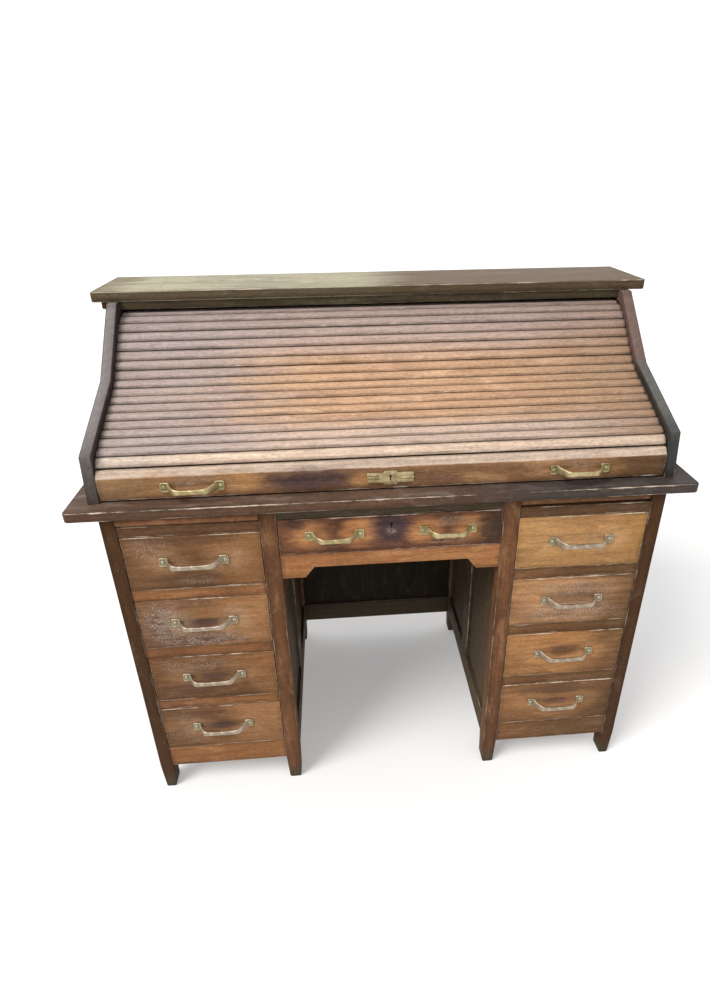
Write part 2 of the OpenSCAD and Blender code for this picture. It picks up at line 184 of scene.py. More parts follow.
def second_least(s, x, y, z):
    low, high = s.math("MINIMUM", x, y), s.math("MAXIMUM", x, y)
    return s.math("MAXIMUM", low, s.math("MINIMUM", high, z))


def spot(s, local, x, y, rx, ry, ragged):
    """1 in the middle of an ellipse on a board's face, fading to 0 at a ragged rim."""
    p = s.parts(local)
    u = s.math("DIVIDE", s.math("SUBTRACT", p[0], x), rx)
    v = s.math("DIVIDE", s.math("SUBTRACT", p[1], y), ry)
    r = s.vector("LENGTH", s.join(u, v, 0.0))
    return s.step(s.math("ADD", r, ragged), 1.1, 0.35)


def wood_fields(s):
    """The noises, growth rings and edge distances of a board, which all its looks are made from."""
    f = SimpleNamespace()
    f.local = s.attribute("local", "Vector")
    f.place = s.parts(f.local)
    seed = s.attribute("seed")
    shift = s.join(s.math("MULTIPLY", seed, 7.3), s.math("MULTIPLY", seed, 3.1), seed)
    f.p = s.vector("ADD", f.local, shift)
    f.blotch = s.noise(f.p, (3.2, 11, 11), 4, 0.62, 0.7)
    f.cloud = s.noise(f.p, (11, 30, 30), 4, 0.65, 0.6)
    f.grain = s.noise(f.p, (14, 420, 420), 4, 0.7, 0.2)
    f.fine = s.noise(f.p, (55, 1500, 1500), 2, 0.6)
    f.chip = s.noise(f.p, (30, 90, 90), 4, 0.7)
    f.dust = s.noise(f.p, (260, 800, 800), 3, 0.8)
    f.drift = s.noise(f.p, (40, 110, 110), 3, 0.7)
    f.ragged = s.math("MULTIPLY_ADD", f.chip, 0.9, -0.45)
    f.pores = s.step(f.fine, 0.36, 0.28)
    f.patch = s.step(s.noise(f.p, (9, 26, 26), 3, 0.6), 0.42, 0.60)
    f.ends, edges, f.faces = gaps(s)
    f.edge = second_least(s, f.ends, edges, f.faces)
    return f


def growth_rings(s, f):
    """0 to 1 across each growth ring, the rings being swung tubes along the board."""
    across = s.parts(f.p)
    bend = s.noise(f.p, (1.5, 7, 7), 2, 0.5)
    swing = s.math("MULTIPLY_ADD", bend, RING_SWING, across[1])
    radius = s.vector("LENGTH", s.join(0.0, swing, s.math("ADD", across[2], PITH_DEPTH)))
    years = s.math("MULTIPLY", radius, RINGS_PER_METRE)
    ring = s.math("PINGPONG", s.math("MULTIPLY_ADD", f.grain, 0.35, years), 1.0)
    return s.step(ring, 0.15, 0.95)


def painted(s, f, colour, tint, bands):
    """Changes of colour along a board, and across it."""
    for runs, noise, sway, axis in ((tint, f.blotch, 0.3, 0), (bands, f.cloud, 0.004, 1)):
        for low, high, paint, strength in runs:
            where = s.math("MULTIPLY_ADD", s.math("SUBTRACT", noise, 0.5), sway, f.place[axis])
            colour = s.mix(s.times(s.step(where, low, high), strength), colour, paint)
    return colour


def rubbed_rings(s, f, colour, halo):
    """Paler wood round a pull's two lugs, where hands have rubbed it."""
    middle_x, half_pull, height, strength, paint = halo
    x = s.math("ABSOLUTE", s.math("SUBTRACT", s.math("ABSOLUTE", f.place[0]), middle_x))
    x = s.math("MULTIPLY", s.math("SUBTRACT", x, half_pull), 0.7)
    r = s.vector("LENGTH", s.join(x, s.math("SUBTRACT", f.place[1], height), 0.0))
    r = s.math("MULTIPLY_ADD", s.math("SUBTRACT", f.cloud, 0.5), 0.05, r)
    return s.mix(s.times(s.step(r, 0.040, 0.012), strength), colour, paint)


def zoned(s, f, colour, zones):
    """Changes of colour over the whole desk."""
    rest = list(s.parts(s.attribute("rest", "Vector")))
    rest.append(s.math("ABSOLUTE", rest[0]))
    for axis, low, high, paint, strength in zones:
        where = s.math("MULTIPLY_ADD", s.math("SUBTRACT", f.blotch, 0.5), abs(high - low), rest[axis])
        colour = s.mix(s.times(s.step(where, low, high), strength), colour, paint)
    return colour


def wood_shade(s, f, figure, rim, reach):
    """How much the grain, rings, pits, pores and the darkening near edges darken the wood; that darkening is
    grime, and painted shade in the gaps and joints between boards.
    """
    shade = s.math("MULTIPLY_ADD", s.step(f.grain, 0.34, 0.66), -0.26, 1.10)
    rings = s.math("MULTIPLY_ADD", growth_rings(s, f), -0.55 * figure, 1 + 0.2 * figure)
    mottle = s.step(s.noise(f.p, (110, 240, 240), 3, 0.7), 0.3, 0.7)
    pits = s.times(s.step(f.dust, 0.44, 0.36), s.step(f.drift, 0.45, 0.65))
    # Darker near each board's edges, set by rim and reach: grime, and painted shade in the gaps and joints
    # between boards.
    edge_grime_and_shade = s.step(s.math("MULTIPLY_ADD", f.cloud, 0.6 * reach, f.edge), reach, 0.3 * reach)
    edge_grime_and_shade = s.times(edge_grime_and_shade, rim, s.math("MULTIPLY_ADD", f.patch, 0.6, 0.6))
    return s.times(shade, rings, s.math("MULTIPLY_ADD", mottle, 0.30, 0.85),
                   s.math("MULTIPLY_ADD", pits, -0.35, 1.0),
                   s.math("MULTIPLY_ADD", f.pores, -0.35, 1.0),
                   s.math("MULTIPLY_ADD", edge_grime_and_shade, -0.75, 1.0))


def rubbed_edges(s, f, wear):
    """1 where an edge is worn to pale wood, less near a board's ends."""
    near_end = s.step(f.ends, 0.010, 0.004)
    amount = s.times(f.patch, s.math("MULTIPLY_ADD", near_end, -0.7, 1.0), wear)
    return s.times(s.step(s.math("MULTIPLY_ADD", f.chip, 0.0085, f.edge), 0.0064, 0.0042), amount)


def pale_specks(s, f, flecks, scatter):
    """1 on the specks of old dust, scattered thinly and gathered in the flecks' places."""
    area = s.times(s.step(f.cloud, 0.52, 0.64), scatter)
    for x, y, rx, ry, strength in flecks:
        area = s.math("MAXIMUM", area, s.times(spot(s, f.local, x, y, rx, ry, f.ragged), strength))
    return s.times(s.step(f.dust, 0.50, 0.58), area, s.step(f.drift, 0.34, 0.60))


def oak(name, tone, dark, pale, worn=WORN, wear=0.6, rim=0.35, figure=0.18, gloss=0.5, coat=0.08,
        halo=None, spots=(), flecks=(), scatter=0.12, tint=(), bands=(), sides=None, zones=(), reach=0.018):
    """Stained oak. The grain runs along each board's longest side.
    halo: x of a pull's middle, half the distance between its screws, height, strength, colour.
    spots: x, y, half width, half height, colour, strength. flecks: the same without a colour.
    tint: x where it begins, x where it is full, colour, strength. bands: the same along y.
    sides: colour and strength on the narrow faces. zones: axis, begin, full, colour, strength
    over the whole desk, axis 3 being the distance from its middle along x."""
    s = Shader(name)
    f = wood_fields(s)
    colour = s.mix(s.times(s.step(f.blotch, 0.56, 0.34), 0.75), tone, dark)
    colour = s.mix(s.times(s.step(f.cloud, 0.52, 0.68), 0.7), colour, pale)
    colour = painted(s, f, colour, tint, bands)
    if halo:
        colour = rubbed_rings(s, f, colour, halo)
    for x, y, rx, ry, paint, strength in spots:
        colour = s.mix(s.times(spot(s, f.local, x, y, rx, ry, f.ragged), strength), colour, paint)
    if sides:
        colour = s.mix(s.times(s.step(f.faces, 0.0008, 0.003), sides[1]), colour, sides[0])
    if zones:
        colour = zoned(s, f, colour, zones)
    shade = wood_shade(s, f, figure, rim, reach)
    rubbed = rubbed_edges(s, f, wear)
    speck = pale_specks(s, f, flecks, scatter)
    colour = s.mix(1.0, colour, s.join(shade, shade, shade), "MULTIPLY")
    colour = s.mix(rubbed, colour, worn)
    colour = s.mix(speck, colour, FLECK)
    rough = s.math("MULTIPLY_ADD", s.step(f.blotch, 0.3, 0.7), 0.16, gloss)
    rough = s.math("MULTIPLY_ADD", f.fine, 0.12, rough)
    rough = s.math("MULTIPLY_ADD", rubbed, 0.2, rough)
    height = s.math("MULTIPLY_ADD", f.pores, -0.5, s.math("MULTIPLY", f.grain, 0.5))
    height = s.math("MULTIPLY_ADD", rubbed, -0.9, height)
    height = s.math("MULTIPLY_ADD", speck, -0.5, height)
    MATERIALS[name] = s.finish(colour, rough, height, OAK_RELIEF, **{"Specular IOR Level": coat})


def brass(name, low, high):
    s = Shader(name)
    p = s.attribute("local", "Vector")
    recess = s.attribute("recess")
    cloud = s.noise(p, (60, 60, 60), 4, 0.6, 0.4)
    fine = s.noise(p, (700, 700, 700), 3, 0.65)
    colour = s.mix(s.step(cloud, 0.35, 0.68), low, high)
    colour = s.mix(s.times(s.step(fine, 0.5, 0.7), 0.3), colour, scaled(low, 0.6))
    dirt = s.math("MULTIPLY_ADD", cloud, 0.35, recess)
    colour = s.mix(s.times(s.step(dirt, 0.45, 0.95), 0.8), colour, (0.20, 0.21, 0.10))
    rough = s.math("MULTIPLY_ADD", cloud, 0.25, 0.28)
    rough = s.math("MULTIPLY_ADD", recess, 0.25, rough)
    height = s.math("MULTIPLY_ADD", fine, 0.5, cloud)
    MATERIALS[name] = s.finish(colour, rough, height, BRASS_RELIEF, **{"Metallic": 0.85})


def steel():
    s = Shader("steel")
    p = s.attribute("local", "Vector")
    cloud = s.noise(p, (90, 300, 300), 4, 0.6)
    colour = s.mix(s.step(cloud, 0.3, 0.7), (0.20, 0.19, 0.18), (0.42, 0.42, 0.42))
    rough = s.math("MULTIPLY_ADD", cloud, 0.2, 0.35)
    return s.finish(colour, rough, cloud, STEEL_RELIEF, **{"Metallic": 0.9})


# ---------------------------------------------------------------- meshes

SEED_STEP = 0.37


def new_piece(name, bm, material, node, body=None, smooth=True):
    mesh = bpy.data.meshes.new(name)
    bm.to_mesh(mesh)
    bm.free()
    mesh.materials.append(material)
    for polygon in mesh.polygons:
        polygon.use_smooth = smooth
    piece = bpy.data.objects.new(name, mesh)
    bpy.context.scene.collection.objects.link(piece)
    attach(piece, body or BODY_OF[node])
    if node:
        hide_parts(node)
    return piece


def islands(bm):
    """The separate solids of a mesh, each as its list of vertices."""
    left, found = set(bm.verts), []
    while left:
        stack, seen = [next(iter(left))], set()
        while stack:
            v = stack.pop()
            if v in seen:
                continue
            seen.add(v)
            stack.extend(e.other_vert(v) for e in v.link_edges)
        left -= seen
        found.append(sorted(seen, key=lambda v: v.index))
    return sorted(found, key=lambda vs: vs[0].index)


def board_axes(verts, along=None):
    """Three axes of a board, longest first, the last one across its broadest flat face.
    A board's front and back tie, so the faces are taken in order and the first one wins."""
    faces = sorted({f for v in verts for f in v.link_faces}, key=lambda f: f.index)
    flat = max(faces, key=lambda f: f.calc_area()).normal.copy()
    flat = Vector((abs(flat.x), flat.y, flat.z)) if abs(flat.x) > 0.9 else flat
    units = [Vector((1, 0, 0)), Vector((0, 1, 0)), Vector((0, 0, 1))]
    if along is not None:
        first = units[along]
    else:
        spans = [max(v.co[i] for v in verts) - min(v.co[i] for v in verts) for i in range(3)]
        first = units[spans.index(max(spans))]
    if abs(first.dot(flat)) > 0.5:
        return None
    return first, flat.cross(first).normalized(), flat.normalized()


def solid_mesh(node):
    """A CAD node's mesh, welded, with its flat faces whole."""
    bm = bmesh.new()
    bm.from_mesh(frame["nodes"][node].data)
    bmesh.ops.remove_doubles(bm, verts=bm.verts, dist=WELD)
    bmesh.ops.dissolve_limit(bm, angle_limit=FLAT, verts=bm.verts, edges=bm.edges)
    bm.verts.index_update()
    bm.faces.index_update()
    bm.normal_update()
    return bm


def mark_boards(bm, start, along=None):
    """Gives each board the coordinates, half sizes and seed that the wood's grain uses."""
    local = bm.verts.layers.float_vector.new("local")
    half = bm.verts.layers.float_vector.new("half")
    seed = bm.verts.layers.float.new("seed")
    rest = bm.verts.layers.float_vector.new("rest")
    for i, verts in enumerate(islands(bm)):
        axes = board_axes(verts, along) or (Vector((1, 0, 0)), Vector((0, 0, 1)), Vector((0, 1, 0)))
        if axes[1].z < -0.5:
            axes = (axes[0], -axes[1], axes[2])
        spans = [[a.dot(v.co) for v in verts] for a in axes]
        lows, highs = [min(x) for x in spans], [max(x) for x in spans]
        for v in verts:
            v[local] = Vector(a.dot(v.co) - (lo + hi) / 2 for a, lo, hi in zip(axes, lows, highs))
            v[half] = Vector((hi - lo) / 2 for lo, hi in zip(lows, highs))
            v[seed] = start + SEED_STEP * i
            v[rest] = v.co


def wooden(node, material, start, round_mm=1.2, along=None):
    """A CAD node's boards with softened edges and their own grain."""
    bm = solid_mesh(node)
    mark_boards(bm, start, along)
    piece = new_piece("wood_" + node, bm, material, node)
    bevel = piece.modifiers.new("worn_edges", "BEVEL")
    bevel.width = round_mm * MM
    bevel.segments = BEVEL_STEPS
    bevel.limit_method = "ANGLE"
    bevel.angle_limit = CREASE
    bevel.harden_normals = True
    return piece


# ---------------------------------------------------------------- brass

LUG_W, LUG_H, LUG_T = 18 * MM, 20 * MM, 3.0 * MM
BAR_T, BAR_H = 6.5 * MM, 10 * MM
BAIL_IN, SCREW_IN = 14 * MM, 7 * MM
REACH = 29 * MM
PULL_LEN, MID_PULL_LEN, RAIL_PULL_LEN = 134 * MM, 115 * MM, 119 * MM
SLOPE = 20 * MM
BOW = 2 * MM
LUG_POWER, BAIL_POWER = 7, 2.8
SCREW_SINK = 0.3 * MM
FLUTE_DEPTH = 0.6 * MM
PLATE_ROUND = 0.9 * MM


def ring_of(bm, points, layers, value):
    made = []
    for p in points:
        v = bm.verts.new(p)
        v[layers] = value
        made.append(v)
    return made


def bridge(bm, a, b):
    n = len(a)
    for i in range(n):
        bm.faces.new((a[i], a[(i + 1) % n], b[(i + 1) % n], b[i]))


def cap(bm, ring, flip=False):
    bm.faces.new(reversed(ring) if flip else ring)


def squircle(w, h, power, n=32):
    """Points round a rounded rectangle, in a plane."""
    points = []
    for i in range(n):
        t = 2 * math.pi * (i + 0.5) / n
        c, s = math.cos(t), math.sin(t)
        points.append((w / 2 * math.copysign(abs(c) ** (2 / power), c),
                       h / 2 * math.copysign(abs(s) ** (2 / power), s)))
    return points


def lug(bm, layer, x, z, y0):
    """A plate with a raised rim and a sunk middle, its back at y0."""
    profile = [(1.0, 0.0, 0.1), (1.0, LUG_T * 0.6, 0.0), (0.94, LUG_T, 0.0), (0.84, LUG_T, 0.0),
               (0.74, LUG_T * 0.62, 0.9), (0.3, LUG_T * 0.55, 1.0)]
    rings = []
    for share, out, value in profile:
        points = [(x + u * share, y0 - out, z + v * share) for u, v in squircle(LUG_W, LUG_H, LUG_POWER)]
        rings.append(ring_of(bm, points, layer, value))
    for a, b in zip(rings, rings[1:]):
        bridge(bm, a, b)
    cap(bm, rings[-1])
    cap(bm, rings[0], True)


def screw(bm, layer, x, z, y0, turn):
    """A domed screw head with a slot, its seat at y0."""
    r, dome, slot_w, slot_d = 4.0 * MM, 1.5 * MM, 0.9 * MM, 0.8 * MM
    n, rows = 24, 5
    rings = []
    for k in range(rows + 1):
        a = math.pi / 2 * k / (rows + 0.5)
        points = []
        for i in range(n):
            t = 2 * math.pi * i / n
            px, pz = r * math.cos(a) * math.cos(t), r * math.cos(a) * math.sin(t)
            side = abs(-px * math.sin(turn) + pz * math.cos(turn))
            cut = slot_d if side < slot_w / 2 else 0.0
            points.append((x + px, y0 - SCREW_SINK - dome * math.sin(a) + cut, z + pz))
        rings.append(ring_of(bm, points, layer, 0.15 if k else 0.8))
    base = ring_of(bm, [(x + r * math.cos(2 * math.pi * i / n), y0, z + r * math.sin(2 * math.pi * i / n))
                        for i in range(n)], layer, 1.0)
    bridge(bm, base, rings[0])
    for a, b in zip(rings, rings[1:]):
        bridge(bm, a, b)
    cap(bm, rings[-1])
    cap(bm, base, True)


def bail(bm, layer, x0, z0, y0, length):
    """The bowed bar, wide where it leaves the lugs and narrow in the middle."""
    a = length / 2 - BAIL_IN
    n, m = 40, 16
    path = []
    for i in range(n + 1):
        x = a * math.sin(math.pi * (i / n - 0.5))
        rise = math.sin(math.pi / 2 * min((a - abs(x)) / SLOPE, 1.0))
        path.append(Vector((x, -(REACH - BAR_T / 2 - BOW) * rise - BOW * (1 - (x / a) ** 2), 0)))
    rings = []
    for i, p in enumerate(path):
        ahead = (path[min(i + 1, n)] - path[max(i - 1, 0)]).normalized()
        side = Vector((ahead.y, -ahead.x, 0))
        near = 1 - min((a - abs(p.x)) / (1.3 * SLOPE), 1.0)
        tall = BAR_H + (LUG_H * 0.86 - BAR_H) * near ** 0.9
        thick = BAR_T * (0.95 - 0.3 * near)
        ring = [Vector((x0, y0, z0)) + p + side * u + Vector((0, 0, v))
                for u, v in squircle(thick, tall, BAIL_POWER, m)]
        rings.append(ring_of(bm, ring, layer, 0.35 * near))
    for r, q in zip(rings, rings[1:]):
        bridge(bm, r, q)
    cap(bm, rings[0], True)
    cap(bm, rings[-1])


def mark_brass(bm, centre):
    local = bm.verts.layers.float_vector.new("local")
    for v in bm.verts:
        v[local] = v.co - Vector(centre)


def pulls(node, spots, length, material):
    """Cast pulls, each centred on (x, z) with its back at y, the face it is screwed to."""
    bm = bmesh.new()
    layer = bm.verts.layers.float.new("recess")
    for k, (x, y, z) in enumerate(spots):
        bail(bm, layer, x, z, y, length)
        for side in (-1, 1):
            lug(bm, layer, x + side * (length - LUG_W) / 2, z, y)
            turn = 0.9 + 1.7 * k + 0.8 * side
            screw(bm, layer, x + side * (length / 2 - SCREW_IN), z, y - LUG_T * 0.5, turn)
    bmesh.ops.recalc_face_normals(bm, faces=bm.faces)
    mark_brass(bm, spots[0])
    return new_piece("brass_" + node, bm, MATERIALS[material], node)


# ---------------------------------------------------------------- build

def middle(node):
    low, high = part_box(node)
    return (low + high) / 2


def make_materials():
    brass("brass_gold", (0.30, 0.23, 0.11), (0.52, 0.43, 0.24))
    brass("brass_dull", (0.28, 0.22, 0.16), (0.48, 0.405, 0.31))
    MATERIALS["steel"] = steel()
    kneehole_shade_black = (0.012, 0.009, 0.005)
    brown, deep, honey = (0.205, 0.090, 0.036), (0.12, 0.052, 0.023), (0.28, 0.13, 0.052)
    # oak_case darkens above z 0.706, a painted shadow on the top rails under the desk top and writing
    # slides, and within 0.25 m of the middle along x, painted shade inside the kneehole.
    oak("oak_case", brown, deep, honey, zones=[(0, 0.1, 0.45, (0.100, 0.052, 0.023), 0.9),
                                               (2, 0.700, 0.706, (0.085, 0.044, 0.022), 0.8),
                                               (3, 0.262, 0.250, (0.055, 0.042, 0.026), 0.88)])
    # oak_panel darkens within 0.25 m of the middle along x: painted shade inside the kneehole.
    oak("oak_panel", brown, deep, honey, wear=0.1, zones=[(3, 0.262, 0.250, (0.050, 0.038, 0.023), 0.9)])
    # oak_slide darkens from x 0.1 to 0.5: a painted shadow of the desk top on the right writing slide.
    oak("oak_slide", (0.20, 0.090, 0.042), deep, honey, wear=0.5,
        zones=[(0, 0.1, 0.5, (0.10, 0.05, 0.025), 0.5)])
    oak("oak_apron", (0.27, 0.115, 0.045), (0.19, 0.080, 0.034), (0.34, 0.155, 0.062), wear=0.3)
    oak("oak_header", (0.056, 0.042, 0.024), (0.035, 0.026, 0.015), (0.085, 0.064, 0.038), wear=0.2)
    # The kneehole back's near-black tone, dark and pale are painted shade in the depth of the kneehole.
    oak("oak_knee", (0.020, 0.014, 0.007), kneehole_shade_black, (0.030, 0.022, 0.013), wear=0.2, scatter=0.02,
        zones=[(2, 0.134, 0.128, (0.062, 0.047, 0.029), 0.9), (1, 0.2305, 0.2335, brown, 0.9)])
    oak("oak_leg", (0.125, 0.055, 0.024), (0.078, 0.034, 0.016), (0.18, 0.082, 0.037), wear=0.3,
        zones=[(3, 0.30, 0.50, (0.048, 0.021, 0.008), 0.9),
               (2, 0.055, 0.0, (0.052, 0.046, 0.032), 0.75)])
    oak("oak_top", (0.100, 0.058, 0.038), (0.045, 0.026, 0.017), (0.15, 0.115, 0.10), wear=0.9,
        gloss=0.45, coat=0.15, sides=((0.085, 0.041, 0.021), 0.92),
        zones=[(0, 0.0, 0.35, (0.034, 0.030, 0.030), 0.75)])
    # oak_crown's pale greyish cream, over its top from the left end to the middle, is a painted reflection
    # of the sky; the brown tints toward the right and at the left end are the wood's own colour.
    oak("oak_crown", (0.32, 0.295, 0.205), (0.22, 0.19, 0.13), (0.38, 0.36, 0.27), wear=0.6,
        gloss=0.45, coat=0.12, sides=((0.066, 0.044, 0.023), 0.94),
        tint=[(-0.05, 0.10, (0.105, 0.067, 0.041), 0.9), (-0.50, -0.60, (0.15, 0.115, 0.07), 0.8)])
    inner = (0.032, 0.022, 0.015)
    oak("oak_gable_left", inner, scaled(inner, 0.6), scaled(inner, 1.6), wear=0.7,
        gloss=0.4, coat=0.3, sides=((0.165, 0.142, 0.142), 0.85),
        zones=[(2, 0.90, 0.84, (0.052, 0.040, 0.031), 0.85)])
    oak("oak_gable_right", inner, scaled(inner, 0.6), scaled(inner, 1.6), wear=0.8,
        gloss=0.4, coat=0.3, sides=((0.085, 0.086, 0.080), 0.85),
        zones=[(2, 0.90, 0.84, (0.016, 0.013, 0.011), 0.85),
               (2, 0.935, 0.965, (0.115, 0.066, 0.053), 0.85)])
    # mauve, toward the left of the curtain's slats, is a painted reflection of the sky.
    mauve_sky_reflection, rose = (0.280, 0.228, 0.215), (0.335, 0.254, 0.225)
    # The slats' strong rim darkens their edges: grime, and painted shade in the gaps between slats.
    slat = dict(wear=0.85, figure=0.10, rim=0.75, reach=0.0075, gloss=0.5, coat=0.2, scatter=0.06)
    over = [(2, 0.955, 1.005, rose, 0.8), (2, 0.890, 0.870, (0.42, 0.325, 0.275), 0.75),
            (0, -0.10, -0.45, mauve_sky_reflection, 0.85),
            (0, 0.25, 0.55, (0.265, 0.165, 0.105), 0.8), (2, 0.99, 1.04, (0.235, 0.182, 0.165), 0.6)]
    oak("oak_slat", (0.42, 0.255, 0.152), (0.31, 0.178, 0.108), (0.50, 0.325, 0.205),
        (0.66, 0.54, 0.43), zones=over, **slat)
    # oak_slat_low turns greyer toward the left: the same painted reflection of the sky as on the other
    # slats.
    oak("oak_slat_low", (0.49, 0.365, 0.275), (0.38, 0.27, 0.20), (0.58, 0.46, 0.36),
        (0.64, 0.56, 0.48), zones=[(0, -0.30, -0.50, (0.40, 0.335, 0.29), 0.6)], **slat)
    oak("oak_rail", (0.225, 0.115, 0.055), (0.135, 0.068, 0.036), (0.31, 0.165, 0.078),
        (0.60, 0.52, 0.44), wear=0.9, halo=(0.373, 0.052, -0.004, 0.4, (0.28, 0.14, 0.06)),
        flecks=[(-0.373, 0.004, 0.05, 0.012, 0.9), (0.373, 0.004, 0.05, 0.012, 0.7)],
        spots=[(-0.155, -0.004, 0.105, 0.030, (0.055, 0.032, 0.032), 0.9),
               (-0.275, 0.0, 0.040, 0.024, (0.36, 0.19, 0.075), 0.7),
               (-0.055, -0.008, 0.03, 0.018, (0.34, 0.17, 0.065), 0.7),
               (0.10, -0.014, 0.05, 0.014, (0.12, 0.06, 0.045), 0.5)],
        tint=[(0.38, 0.46, (0.085, 0.044, 0.020), 0.9), (-0.40, -0.50, (0.25, 0.150, 0.075), 0.7)],
        bands=[(0.0145, 0.0175, (0.46, 0.355, 0.28), 0.92)])
    oak("oak_raw", (0.40, 0.25, 0.13), (0.27, 0.165, 0.085), (0.50, 0.34, 0.20), wear=0.2,
        gloss=0.65, coat=0.15)
    make_front_materials()


def make_front_materials():
    """One material for each drawer front, with its own stains, painted shade and shadow, rubbed rings and
    flecks.
    """
    ash, dusk, plum = (0.038, 0.023, 0.016), (0.075, 0.038, 0.022), (0.070, 0.040, 0.034)
    ring = (0.0, 0.060, 0.004)
    # The next two spots are painted shade on a drawer front behind the pull's bar, lighter and darker.
    shade_behind_pull = (0.0, 0.002, 0.042, 0.013, plum, 0.6)
    deep_shade_behind_pull = (0.0, 0.0, 0.046, 0.014, (0.050, 0.030, 0.028), 0.8)
    looks = {
        # left_1's dark strip along its top edge, at y 0.05, is a painted shadow under the rail above it.
        "left_1": dict(tone=(0.145, 0.070, 0.031), tint=[(0.0, 0.10, (0.21, 0.097, 0.038), 0.75)],
                       halo=(*ring, 0.6, (0.30, 0.165, 0.085)),
                       flecks=[(-0.08, 0.033, 0.055, 0.030, 0.5), (0.0, -0.042, 0.05, 0.014, 0.5),
                               (0.09, 0.0, 0.03, 0.05, 0.2)],
                       spots=[(-0.02, -0.036, 0.09, 0.018, dusk, 0.5), (0.0, 0.05, 0.12, 0.012, dusk, 0.6)]),
        "left_2": dict(tone=(0.150, 0.074, 0.036), tint=[(-0.03, 0.08, (0.275, 0.132, 0.055), 0.8)],
                       halo=(*ring, 0.6, (0.32, 0.20, 0.115)),
                       flecks=[(-0.080, 0.0, 0.055, 0.070, 1.0), (0.0, -0.042, 0.12, 0.026, 1.0)],
                       spots=[(-0.09, -0.01, 0.035, 0.06, plum, 0.65), (0.0, -0.044, 0.10, 0.016, plum, 0.6),
                              deep_shade_behind_pull]),
        "left_3": dict(tone=(0.130, 0.060, 0.026), tint=[(0.02, 0.10, (0.20, 0.092, 0.037), 0.75)],
                       halo=(*ring, 0.5, (0.27, 0.145, 0.070)),
                       flecks=[(-0.04, 0.034, 0.10, 0.030, 0.5)],
                       spots=[(-0.05, -0.03, 0.08, 0.022, dusk, 0.6), shade_behind_pull]),
        "left_4": dict(tone=(0.145, 0.070, 0.030), tint=[(0.0, 0.08, (0.28, 0.135, 0.060), 0.8)],
                       halo=(*ring, 0.5, (0.29, 0.155, 0.075)),
                       flecks=[(-0.08, 0.0, 0.055, 0.060, 0.4)],
                       spots=[(-0.05, 0.04, 0.09, 0.014, dusk, 0.6), deep_shade_behind_pull]),
        # right_1's darker strip along its top edge, at y 0.046, is a painted shadow under the rail above it.
        "right_1": dict(tone=(0.36, 0.19, 0.074), tint=[(0.04, 0.11, (0.265, 0.138, 0.046), 0.85)],
                        halo=(*ring, 0.4, (0.44, 0.25, 0.115)), flecks=[(0.03, 0.0, 0.09, 0.04, 0.25)],
                        spots=[(0.0, 0.046, 0.12, 0.012, (0.22, 0.11, 0.05), 0.5)]),
        "right_2": dict(tone=(0.30, 0.155, 0.070), tint=[(0.02, 0.11, (0.115, 0.060, 0.027), 0.9)],
                        halo=(*ring, 0.4, (0.38, 0.205, 0.10)), figure=0.4,
                        flecks=[(0.0, -0.030, 0.12, 0.034, 1.0), (0.0, 0.03, 0.11, 0.03, 0.7)],
                        spots=[(0.03, 0.0, 0.09, 0.05, (0.13, 0.07, 0.04), 0.55)]),
        # right_3's dark spot behind its pull is painted shade behind the pull's bar.
        "right_3": dict(tone=(0.30, 0.143, 0.056), tint=[(0.02, 0.11, (0.13, 0.065, 0.027), 0.9)],
                        halo=(*ring, 0.45, (0.40, 0.20, 0.085)),
                        spots=[(0.0, 0.008, 0.050, 0.020, dusk, 0.75)]),
        "right_4": dict(tone=(0.215, 0.102, 0.043), tint=[(0.02, 0.11, (0.092, 0.047, 0.020), 0.9)],
                        halo=(*ring, 0.4, (0.30, 0.155, 0.072)),
                        spots=[(0.0, 0.042, 0.13, 0.02, (0.085, 0.046, 0.026), 0.75), shade_behind_pull])}
    for name, look in looks.items():
        tone = look.pop("tone")
        oak("oak_" + name, tone, scaled(tone, 0.68), scaled(tone, 1.3), wear=0.9, **look)
    oak("oak_centre", (0.105, 0.043, 0.023), (0.055, 0.026, 0.018), (0.16, 0.068, 0.032), wear=0.8,
        halo=(0.112, 0.048, 0.002, 0.9, (0.40, 0.18, 0.072)),
        tint=[(-0.13, -0.20, (0.15, 0.062, 0.027), 0.7)],
        spots=[(0.0, 0.01, 0.055, 0.045, (0.040, 0.026, 0.030), 0.9),
               (0.20, 0.0, 0.040, 0.06, ash, 0.9),
               (-0.19, 0.030, 0.035, 0.014, ash, 0.8)],
        flecks=[(0.11, -0.026, 0.05, 0.006, 0.9), (0.0, 0.004, 0.014, 0.014, 0.8),
                (0.12, 0.02, 0.05, 0.014, 0.6)])


def make_case():
    m = MATERIALS
    wooden("desk_top", m["oak_top"], 0.1, 3.0)
    wooden("legs", m["oak_leg"], 1.3, 1.6)
    wooden("carcase_rails", m["oak_case"], 2.7)
    wooden("carcase_panels", m["oak_panel"], 4.9, 0.4)
    wooden("drawer_runners", m["oak_raw"], 6.1, 0.5)
    wooden("kneehole_back", m["oak_knee"], 7.3)
    wooden("kneehole_apron", m["oak_apron"], 8.6)
    wooden("left_gable", m["oak_gable_left"], 9.2, 1.6, along=2)
    wooden("right_gable", m["oak_gable_right"], 9.8, 1.6, along=2)
    wooden("top_board", m["oak_crown"], 10.4, 3.0)
    wooden("header_rail", m["oak_header"], 11.3)
    wooden("gallery_back", m["oak_leg"], 12.1)
    wooden("curtain_guard", m["oak_raw"], 13.4, 0.5)
    wooden("pigeonholes", m["oak_case"], 14.2, 0.8)
    wooden("side_cleats", m["oak_leg"], 15.5, 0.8)


